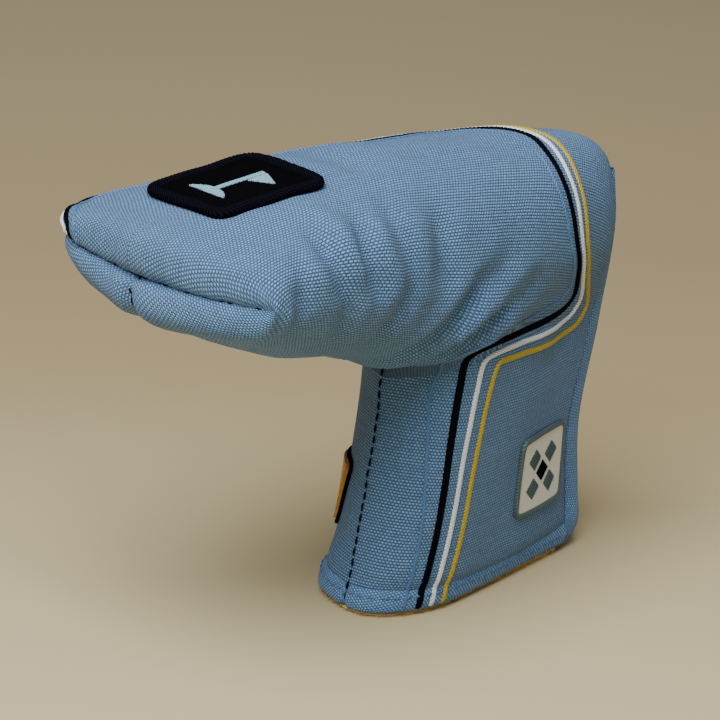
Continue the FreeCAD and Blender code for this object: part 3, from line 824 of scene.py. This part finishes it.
# ---------------------------------------------------------------- cords, stitches and borders
def cord_on(points, normals, width, height, sink=0.2, stitch=1.1, relief=0.13, closed=False, sides=12):
    """A raised cord of embroidery along a line: closed rings with slanted stitches standing out."""
    if closed:
        tangents = np.roll(points, -1, axis=0) - np.roll(points, 1, axis=0)
    else:
        tangents = np.gradient(points, axis=0)
    across = unit(np.cross(normals, unit(tangents)))
    along = run_length(points)
    rings, uvs = [], []
    total = along[-1] + (np.linalg.norm(points[0] - points[-1]) if closed else 0)
    turns = max(round(total / stitch), 1) / total
    for p, n, w, s in zip(points, normals, across, along):
        end = 1.0 if closed else float(smooth(min(s, along[-1] - s) / width + 0.35))
        ring = []
        for k in range(sides):
            a = 2 * math.pi * k / sides
            rise, side_way = math.sin(a), math.cos(a)
            bulge = 1 + relief * math.sin(2 * math.pi * s * turns + 1.5 * side_way)
            up = height * rise * bulge if rise > 0 else sink * rise
            out = (width / 2) * side_way * (0.6 + 0.4 * end) * (1 + 0.4 * (bulge - 1))
            ring.append(p + n * up * end + w * out)
            uvs.append((s, side_way * width / 2))
        rings.append(ring)
    return tube(rings, uvs, closed)


def stitch_row(points, normals, length, gap, thick, sink=0.0, wander=0.0, seed=3):
    """Separate rounded stitches along a line."""
    rng = np.random.default_rng(seed)
    along = run_length(points)
    parts, start = [], gap / 2
    while start + length < along[-1]:
        at = start + np.linspace(0, length, 7)
        p, n = resampled(points, along, at), resampled(normals, along, at)
        t = p[-1] - p[0]
        side_way = np.cross(n[3], t / np.linalg.norm(t))
        lean = rng.uniform(-1, 1) * wander
        rings, uvs = [], []
        for i in range(7):
            f = i / 6
            fat = thick * (0.35 + 0.65 * math.sin(math.pi * min(max(f, 0.04), 0.96)) ** 0.5)
            core = p[i] + n[i] * (fat * 0.45 - sink) + side_way * lean * (f - 0.5) * 2
            rings.append([core + (n[i] * math.sin(a) * fat * 0.5 + side_way * math.cos(a) * fat * 0.62)
                          for a in np.linspace(0, 2 * math.pi, 9)[:-1]])
            uvs += [(at[i], k * thick / 4) for k in range(8)]
        parts.append(tube(rings, uvs))
        start += length + gap
    return joined(parts)


def bends(piece):
    """Meant for a piece that crosses the fold of the closure flap. It works out the axes of the fold but does
    not use them; it only bakes the piece's transform into its mesh, so the piece does not bend.
    """
    along = (FOLD_TOP - FOLD_FOOT).normalized()
    out = Vector((0, -1, 0))
    across = along.cross((out - along * out.dot(along)).normalized())
    if across.x < 0:
        across = -across
    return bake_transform(piece)


# ---------------------------------------------------------------- hems
# across a hem: distance from its folded edge, and how far it stands out from the fabric
HEM_PROFILE = [(6.3, 0.05), (6.15, 0.42), (5.7, 0.7), (4.9, 0.9), (3.6, 1.12), (2.3, 1.1), (1.2, 0.85),
               (0.5, 0.35)]
BOTTOM_HEM_BACK = [(0.22, -0.5), (0.12, -1.8), (0.3, -3.0), (0.9, -3.2), (1.3, -1.4), (1.45, -0.25),
                   (3.5, -0.15), (6.0, -0.15)]
HEM_CREST = 4             # the point of the profile that stands out most
HEEL_HEM_MIDDLE = 2.5     # where the heel hem is laid on the fabric
PLUSH_STOP = 0.91         # the plush shows up to this fraction of the foot
TUFTS = 1500              # fibres on each side
UP = np.array([0.0, 0.0, 1.0])


def foot_lift(x):
    """The hem stands on the plush at the front and hangs a little clear of the floor at the heel."""
    return 0.8 + 0.6 * smooth((x + 5) / 30)


def band(rings, runs):
    """A folded band whose weave runs along it and round its section."""
    return tube(rings, [(run, around) for ring, run in zip(rings, runs) for around in run_length(ring)])


def bottom_hem(side):
    """Folded band round the foot of one side, from the front seam to the corner of the heel."""
    x_end = heel_line(HEM) - HEM + 0.5
    rings = []
    for p in np.concatenate([np.linspace(0, 0.06, 9), np.linspace(0.06, 1.0, 74)[1:]]):
        if front(0.0) + (heel_line(0.0) - front(0.0)) * p > x_end:
            break
        ring = []
        for z, out in HEM_PROFILE + BOTTOM_HEM_BACK:
            x, half, lean, across = neck_flank(p, z, side)
            x -= out * lean
            ring.append((x, side * (max(half + out * across, 0.05) if p > 0 else 0.0), z + foot_lift(x)))
        rings.append(np.array(ring))
    return band(rings, run_length([ring[HEM_CREST] for ring in rings]))


def heel_hem(side, tree):
    """Folded band up the heel edge of one side, round the bottom corner, to the top of the slit."""
    corner_x = heel_line(CORNER) - CORNER
    outline = [(corner_x - 1.5, 0.05), (corner_x, 0.1)]
    outline += [(corner_x + CORNER * math.sin(a), CORNER - CORNER * math.cos(a))
                for a in np.linspace(0.2, 1.5, 9)]
    outline += [(heel_line(z), z) for z in np.linspace(9, 100, 46)]
    outline = [(x, z + foot_lift(x) * smooth((14 - z) / 10)) for x, z in outline]
    path = even(np.array(outline), 96)
    tangent = unit(np.gradient(path, axis=0))
    rings = []
    for i, (edge, way) in enumerate(zip(path, np.stack([-tangent[:, 1], tangent[:, 0]], -1))):
        y_edge, y_deep = (abs(on_surface(tree, (x, 0, z), (0, -side, 0))[0].y)
                          for x, z in (edge + way * HEEL_HEM_MIDDLE, edge + way * HEM))
        narrow = smooth(i / 6) * smooth((len(path) - 1 - i) / 16)
        slope = (y_deep - y_edge) / (HEM - HEEL_HEM_MIDDLE)
        ring = [(q, y_edge + slope * (q - HEEL_HEM_MIDDLE) + out * narrow - 0.3 * (1 - narrow))
                for q, out in HEM_PROFILE]
        lip = y_edge - 0.6
        ring += [(-0.12, lip), (-0.3, max(lip * 0.55, 0.5)), (-0.12, 0.28), (0.6, 0.16), (2.4, 0.16),
                 (3.4, 0.3), (3.2, max(y_edge - 1.6, 0.5)), (4.6, max(y_edge - 0.9, 0.6)),
                 (6.0, y_deep - 0.25)]
        rings.append(np.array([(edge[0] + way[0] * q, side * y, max(edge[1] + way[1] * q, 0.03))
                               for q, y in ring]))
    return band(rings, run_length(path))


def foot_line(side, z, out, stop):
    """Points and normals along the foot of one side at a height, standing out from the fabric."""
    flank = [neck_flank(p, z, side) for p in np.linspace(0.0, stop, 90)]
    normals = np.array([(-lean, side * across, 0.0) for _, _, lean, across in flank])
    return np.array([(x, side * half, z) for x, half, _, _ in flank]) + normals * out, normals


def plush_rim(side):
    """The roll of plush lining that shows under the hem."""
    points, normals = foot_line(side, 0.0, -2.9, PLUSH_STOP)
    points[:, 2] = 0.85
    rng = np.random.default_rng(21 + side)
    rings, uvs = [], []
    for p, n, run in zip(points, normals, run_length(points)):
        ring = []
        for k in range(12):
            a = 2 * math.pi * k / 12
            ring.append(p + n * math.cos(a) * (2.6 + rng.uniform(-0.25, 0.25))
                        + UP * math.sin(a) * (0.72 + rng.uniform(-0.1, 0.1)))
            uvs.append((run, k * 0.8))
        ring = np.array(ring)
        ring[:, 2] = np.maximum(ring[:, 2], 0.02)
        rings.append(ring)
    return tube(rings, uvs)


def plush_tufts(side, count):
    """Short plush fibres that stick out from under the hem."""
    points, normals = foot_line(side, 0.0, -0.7, PLUSH_STOP)
    rng = np.random.default_rng(40 + side)
    parts = []
    for _ in range(count):
        i = int(rng.integers(1, len(points) - 1))
        f = rng.uniform()
        n = normals[i]
        t = np.cross(n, UP)
        root = points[i] * f + points[i - 1] * (1 - f) - n * rng.uniform(0, 1.6) + UP * rng.uniform(0.1, 0.8)
        bend = n * rng.uniform(0.6, 1.5) + t * rng.uniform(-0.7, 0.7) + UP * rng.uniform(-0.5, 0.2)
        rings = []
        for k, q in enumerate((root, root + bend * 0.5 + UP * 0.1, root + bend)):
            r = 0.11 * (1 - 0.4 * k)
            q[2] = max(q[2], 0.05)
            rings.append([q + r * (t * math.cos(a) + UP * math.sin(a)) for a in (0, 2.1, 4.2)])
        parts.append(tube(rings, np.zeros((9, 2))))
    return joined(parts)


# ---------------------------------------------------------------- stripes
# width, x on the ridge, two points (x, y) of the far shoulder, height at the toe, thread, thickness
STRIPES = {
    "tonal": (0.9, 2.5, [(-34, 9.5), (-60, 19.0)], 101.2, "blue_thread", 0.4),
    "black": (1.8, 7.5, [(-34, 12.5), (-60, 22.0)], 99.8, "black_thread", 0.5),
    "white": (1.3, 10.4, [(-34, 15.3), (-60, 24.4)], 98.6, "white_thread", 0.5),
    "yellow": (1.4, 13.9, [(-34, 17.6), (-60, 26.4)], 97.6, "yellow_thread", 0.5),
}
# The four stripes run side by side up the near side. Each station has the (x, z) of the first stripe
# and the step from one stripe to the next.
BRAID = [((-30.5, 2), (3.6, 0)), ((-27.5, 22), (3.8, 0)), ((-25.5, 45), (4, 0)), ((-24.5, 58), (4.3, 0)),
         ((-23.5, 67), (4.5, -1.5)), ((-15, 70.5), (2.5, -2.5)), ((-2, 72), (0, -3)), ((12, 74), (4, -3.5)),
         ((14, 76), (4.7, -2.5)), ((13, 81), (2.8, -0.5)), ((9, 90), (2.9, -0.5)), ((5.5, 104), (3.6, -0.5))]


TIP_Y, TIP_STEP, TIP_Z = 22.0, 3.2, 96.4   # where the stripes end, in the mouth seam
CORD_STEP, SEAM_STEP = 0.42, 0.6           # spacing of the points of cords and of seam lines


def stripe_line(rank, x_ridge, shoulder, z_toe, tree):
    """Up the near side, over the ridge, along the far shoulder and down into the mouth seam."""
    near = [(x + rank * step_x, z + rank * step_z) for (x, z), (step_x, step_z) in BRAID]
    controls = [on_surface(tree, (x, 0, z), (0, 1, 0))[0] for x, z in near]
    over = [(near[-1][0] - 0.4, -13), (x_ridge + 1.2, -5.5), (x_ridge - 2.5, 2.0), (x_ridge - 12, 6)]
    controls += [on_surface(tree, (x, y, 90), (0, 0, -1))[0] for x, y in over + shoulder]
    x_turn, z_turn = shoulder[-1][0], controls[-1].z
    for f in (0.33, 0.66, 0.9):
        x = x_turn + (TOE_SEAM - 3 - x_turn) * f
        z = z_turn + (z_toe + 1.0 - z_turn) * f ** 1.1
        controls.append(on_surface(tree, (x, 0, z), (0, -1, 0))[0])
    tip_y = TIP_Y + TIP_STEP * rank
    for y, z in ((tip_y + 1.5, z_toe + 0.2), (tip_y, TIP_Z)):
        controls.append(on_surface(tree, (-80, y, z), (1, 0, 0))[0])
    return settle(tree, spline(controls, CORD_STEP))


# ---------------------------------------------------------------- patches
def rounded(a, b, sharp=11.0):
    """Point of a square grid from -1 to 1 moved into a square with rounded corners."""
    far = max(abs(a), abs(b))
    if far < 1e-9:
        return 0.0, 0.0
    pull = far / (abs(a) ** sharp + abs(b) ** sharp) ** (1 / sharp)
    return a * pull, b * pull


def patch_frame(centre, right, up):
    right, up = Vector(right).normalized(), Vector(up).normalized()
    normal = right.cross(up).normalized()
    return Vector(centre), right, normal.cross(right), normal


def patch_plate(place, size, low, high, steps=26):
    """Flat or draped plate: place(a, b, height) gives a point of the patch."""
    outer, inner, uvs = [], [], []
    for i in range(steps + 1):
        for j in range(steps + 1):
            a, b = rounded(2 * i / steps - 1, 2 * j / steps - 1)
            outer.append(place(a * size / 2, b * size / 2, high))
            inner.append(place(a * size / 2, b * size / 2, low))
            uvs.append((a * size / 2, b * size / 2))
    sheets = np.array(outer), np.array(inner), np.array(square_cells(steps)), np.array(uvs)
    points, faces, uvs, _ = thick_sheet(*sheets)
    return points, outwards(points, faces), uvs


def patch_border(place, size, radius, level, steps=340):
    """Overlocked edge: a fat cord wound round the rim of a patch."""
    line, normals = [], []
    turns = np.linspace(0, 2 * math.pi, 241)
    for t in turns:
        way = np.array([math.cos(t), math.sin(t)])
        a, b = (q * size / 2 for q in rounded(*(way / np.abs(way).max())))
        line.append(place(a, b, level))
        normals.append(np.array(place(a, b, level + 1.0)) - line[-1])
    points = even(line, steps)[:-1]
    normals = resampled(unit(np.array(normals)), turns, np.linspace(0, turns[-1], steps + 1)[:-1])
    return cord_on(points, normals, radius * 2.1, radius, radius * 0.9, 0.85, 0.12, closed=True, sides=14)


SATIN_SECTION = [(-0.5, 0.0), (-0.36, 0.7), (0.0, 1.0), (0.36, 0.7), (0.5, 0.0), (0.0, -0.3)]


def satin(place, outlines, way, level, pitch=0.42, thick=0.4):
    """Satin stitch: parallel threads that fill plane outlines, running in the direction way."""
    way = np.array(way, float) / np.linalg.norm(way)
    side_way = np.array([-way[1], way[0]])
    parts = []
    for outline in outlines:
        o = np.array(outline, float)
        s, t = o @ side_way, o @ way
        for k in np.arange(s.min() + pitch / 2, s.max(), pitch):
            cuts = []
            for i in range(len(o)):
                j = (i + 1) % len(o)
                if (s[i] - k) * (s[j] - k) < 0:
                    f = (k - s[i]) / (s[j] - s[i])
                    cuts.append(t[i] + f * (t[j] - t[i]))
            cuts.sort()
            for a, b in zip(cuts[::2], cuts[1::2]):
                if b - a < 0.3:
                    continue
                rings, uvs = [], []
                steps = max(int((b - a) / 0.9), 4)
                for m in range(steps + 1):
                    f = m / steps
                    run = a + (b - a) * f
                    rise = thick * (0.25 + 0.75 * math.sin(math.pi * min(max(f, 0.06), 0.94)) ** 0.4)
                    x, y = side_way * k + way * run
                    ring = []
                    for c, h in SATIN_SECTION:
                        q = side_way * c * pitch * 1.12
                        ring.append(place(x + q[0], y + q[1], level + rise * h))
                        uvs.append((run, k + c * pitch))
                    rings.append(ring)
                parts.append(tube(rings, uvs))
    return joined(parts)


def draped_place(tree, frame_of_patch, give, lift):
    """Height field of a patch: give(a, b) is how much it follows the fabric, from 0 (flat) to 1."""
    centre, right, up, normal = frame_of_patch

    def place(a, b, height):
        flat = centre + right * a + up * b
        hit = tree.ray_cast(flat + normal * 12, -normal)[0]
        drop = 0.0 if hit is None else (flat - hit).dot(normal)
        return tuple(flat - normal * (drop * give(a, b)) + normal * (height + lift))
    return place


# ---------------------------------------------------------------- the object
def carry(piece, body):
    """The piece rides on a body; a piece for the fold only has its transform baked into its mesh."""
    if body == "fold":
        bends(piece)
    else:
        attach(piece, body)


def add(name, made, slot, nodes, body):
    """A finished piece that stands for some CAD nodes."""
    piece = solid(name, *made, slot)
    if nodes:
        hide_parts(*nodes)
    carry(piece, body)


def nodes_of(stem, half):
    """The CAD nodes that one side's piece stands for."""
    return [stem + "_near", stem + "_flap"] if half == "near" else [stem + "_far"]


def add_hems(skins):
    """Both hems of both sides, and the search tree of the fabric with its hems."""
    bare = surface_tree(skins)
    hems = []
    for side, half, body in SIDES:
        for stem, made in (("bottom_hem", bottom_hem(side)), ("heel_hem", heel_hem(side, bare))):
            hem = subdivided(solid(stem + "_" + half + "_band", *made, "hem_fabric"))
            hems.append((hem, nodes_of(stem, half), body))
    tree = surface_tree(skins + [hem for hem, _, _ in hems])
    for hem, nodes, body in hems:
        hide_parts(*nodes)
        carry(hem, body)
    return tree


def add_foot(tree):
    """The plush under the hem and the hem's topstitching."""
    for side, half, body in SIDES:
        add("plush_roll_" + half, plush_rim(side), "plush", [], body)
        add("plush_fibres_" + half, plush_tufts(side, TUFTS), "plush", [], body)
        line, normals = settle(tree, spline(foot_line(side, 5.3, 0.55, 0.9)[0], 0.8))
        made = stitch_row(line, normals, 2.0, 0.9, 0.5, 0.02, 0.1, 5 + side)
        add("hem_topstitch_" + half + "_rows", made, "blue_thread", nodes_of("hem_topstitch", half), body)


def add_seams(tree):
    """Stitches of the front seam of the neck, the underside and the mouth."""
    seams = seam_lines()
    front = [on_surface(tree, (-60, 0, z), (1, 0, 0))[0] for z in np.linspace(60.5, 0.6, 60)]
    neck = spline(front, SEAM_STEP)
    underside, normals = settle(tree, spline(seams["underside"][:-1], SEAM_STEP))
    mouth = spline(seams["mouth"], SEAM_STEP)
    rows = {"neck_front_seam": (neck, np.tile((-1.0, 0.0, 0.1), (len(neck), 1)), 2.0, 0.8, 0.55, -0.08, 0.06),
            "underside_seam": (underside, normals, 1.9, 0.75, 0.6, 0.1, 0.2),
            "toe_mouth_seam": (mouth, np.tile((-1.0, 0.0, 0.0), (len(mouth), 1)), 1.5, 0.8, 0.42, 0.15, 0.1)}
    for name, row in rows.items():
        add(name + "_stitches", stitch_row(*row), "dark_thread", [name], "cover")


def build_object():
    layers = make_layers(shape_cover())
    for (name, half), piece in layers.items():
        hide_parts(*nodes_of(name, half))
    tree = add_hems([layers["outer_shell", "near"], layers["outer_shell", "far"]])
    add_foot(tree)
    for rank, (name, (width, x_ridge, shoulder, z_toe, slot, height)) in enumerate(STRIPES.items()):
        made = cord_on(*stripe_line(rank, x_ridge, shoulder, z_toe, tree), width, height)
        add("stripe_" + name + "_cord", made, slot, ["stripe_" + name], "fold")
    add_seams(tree)
    add_patches(tree)
    for (_, half), piece in layers.items():
        carry(piece, "fold" if half == "near" else "cover")
    for node in ("closure_magnets_far", "closure_magnets_flap", "magnet_pouches_far", "magnet_pouches_flap"):
        finish = "magnet_steel" if "magnets" in node else "pouch_fabric"
        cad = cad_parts[node]
        cad.data.materials.clear()
        cad.data.materials.append(MATERIALS[finish])


def flag_outlines():
    """A pin flag on a mound."""
    arc = np.linspace(0.75, math.pi - 0.75, 15)
    mound = [(9.0 * math.cos(a), -14 + 9.0 * math.sin(a)) for a in arc]
    pole = [(-0.75, -6), (0.75, -6), (0.75, 8), (-0.75, 8)]
    cloth = [(1.2, 8), (8.0, 5.2), (1.2, 2.4)]
    return pole, cloth, mound


def diamonds(pitch=3.9, reach=2.8):
    """Five small squares set on their corners, the first in the middle of the other four."""
    centres = [(i * pitch, j * pitch) for i, j in ((0, 0), (1, 1), (-1, 1), (1, -1), (-1, -1))]
    return [[(x + reach, y), (x, y + reach), (x - reach, y), (x, y - reach)] for x, y in centres]


def add_patch(stem, place, body, plate, rim):
    """The cloth of a patch (size, height, finish, name) and its edge (size, radius, level, finish)."""
    size, height, finish, name = plate
    add(stem + "_" + name, patch_plate(place, size, PATCH_FOOT, height), finish, [stem + "_base"], body)
    size, radius, level, finish = rim
    add(stem + "_overlock", patch_border(place, size, radius, level), finish, [stem + "_border"], body)


PATCH_FOOT = -0.2         # patches reach this far into the fabric
TOE_PATCH_X, TOE_PATCH_PITCH, TOE_PATCH_TURN = -74.6, math.radians(8.0), 0.034
FLAP_PATCH, FLAP_PATCH_YAW = (14.8, -10.9, 28.0), math.radians(13.5)
FAR_PATCH_X, FAR_PATCH_Z, FAR_PATCH_SLANT = -21.5, 24.5, 0.06


def add_patches(tree):
    toe = patch_frame((TOE_PATCH_X, 0.4, float(ridge(TOE_PATCH_X)) + 0.9), (-TOE_PATCH_TURN, -1, 0),
                      (math.cos(TOE_PATCH_PITCH), -TOE_PATCH_TURN, math.sin(TOE_PATCH_PITCH)))
    lifted = draped_place(tree, toe, lambda a, b: 0.35 if a > 0 else 0.6, 0.1)
    add_patch("toe_patch", lifted, "cover", (28.3, 0.95, "black_twill", "cloth"),
              (27.7, 1.35, 0.6, "black_thread"))
    parts = [satin(lifted, [shape], way, 0.92)
             for shape, way in zip(flag_outlines(), ((1, 0.25), (0.15, 1), (0.1, 1)))]
    add("toe_patch_flag", joined(parts), "pale_blue_thread", ["toe_patch_motif"], "cover")

    flap = patch_frame(FLAP_PATCH, (math.cos(FLAP_PATCH_YAW), math.sin(FLAP_PATCH_YAW), 0.02),
                       (0.05, -math.sin(LEAN), math.cos(LEAN)))
    lying = draped_place(tree, flap, lambda a, b: 1.0, 0.0)
    add_patch("flap_patch", lying, "closure_flap", (20.4, 0.75, "cream_twill", "cloth"),
              (20.2, 0.72, 0.42, "grey_green_thread"))
    centre, *corners = diamonds()
    add("flap_patch_centre", satin(lying, [centre], (0.1, 1), 0.72), "black_thread", [], "closure_flap")
    add("flap_patch_corners", satin(lying, corners, (1, 0.1), 0.72), "grey_green_thread",
        ["flap_patch_motif"], "closure_flap")

    def wrapped(a, b, height):
        start = (FAR_PATCH_X - a, 0, FAR_PATCH_Z + b + a * FAR_PATCH_SLANT)
        hit, normal = on_surface(tree, start, (0, -1, 0))
        return tuple(hit + normal * (height + 0.05))
    add_patch("far_patch", wrapped, "cover", (16.8, 1.5, "mustard_felt", "felt"),
              (18.0, 0.55, 0.3, "black_thread"))


# ---------------------------------------------------------------- floor, light and camera
VIEW_AZIMUTH, VIEW_ELEVATION = math.radians(-41.0), math.radians(18.0)
VIEW_DISTANCE, LENS, SENSOR = 600.0, 128.0, 36.0
VIEW_TARGET = Vector((-37.0, 0.0, 63.4))
VIEW_ROLL = math.radians(2.0)


def set_camera():
    a, e = VIEW_AZIMUTH, VIEW_ELEVATION
    back = Vector((math.sin(a) * math.cos(e), -math.cos(a) * math.cos(e), math.sin(e)))
    right = Vector((math.cos(a), math.sin(a), 0.0))
    up = back.cross(right)
    x_axis = right * math.cos(VIEW_ROLL) + up * math.sin(VIEW_ROLL)
    y_axis = up * math.cos(VIEW_ROLL) - right * math.sin(VIEW_ROLL)
    camera = new_object("camera", bpy.data.cameras.new("camera"))
    camera.data.lens, camera.data.sensor_width = LENS, SENSOR
    turn = Matrix((x_axis, y_axis, back)).transposed().to_4x4()
    camera.matrix_world = Matrix.Translation((VIEW_TARGET + back * VIEW_DISTANCE) * MM) @ turn
    bpy.context.scene.camera = camera


LAMP_TARGET, LAMP_SIZE = Vector((-0.03, 0.0, 0.06)), 0.9
# place in metres, power in watts, colour
LAMPS = {"softbox_above": ((-0.54, -0.28, 0.95), 25.5, (1.0, 0.98, 0.95)),
         "fill_left": ((-1.1, -0.7, 0.8), 1.4, (1.0, 0.98, 0.95)),
         "fill_right": ((0.5, -1.1, 0.55), 1.3, (1.0, 0.99, 0.97))}
FLOOR_REACH, FLOOR_STEPS = 6.0, 12


def add_lamp(name, place, power, colour):
    data = bpy.data.lights.new(name, "AREA")
    data.shape, data.size, data.energy, data.color = "DISK", LAMP_SIZE, power, colour
    light = new_object(name, data)
    light.location = place
    light.rotation_mode = "QUATERNION"
    light.rotation_quaternion = (LAMP_TARGET - Vector(place)).to_track_quat("-Z", "Y")


def build_stage():
    mesh = bpy.data.meshes.new("floor")
    ticks = np.linspace(-FLOOR_REACH, FLOOR_REACH, FLOOR_STEPS + 1)
    mesh.from_pydata([(x, y, 0.0) for x in ticks for y in ticks], [], square_cells(FLOOR_STEPS))
    mesh.materials.append(floor_cloth("floor_paper"))
    new_object("floor", mesh)
    world = bpy.data.worlds.new("room")
    bpy.context.scene.world = world
    world.use_nodes = True
    background = world.node_tree.nodes["Background"]
    background.inputs[0].default_value = rgb(226, 218, 204)
    background.inputs[1].default_value = 0.25
    for name, values in LAMPS.items():
        add_lamp(name, *values)


build_object()
build_stage()
set_camera()
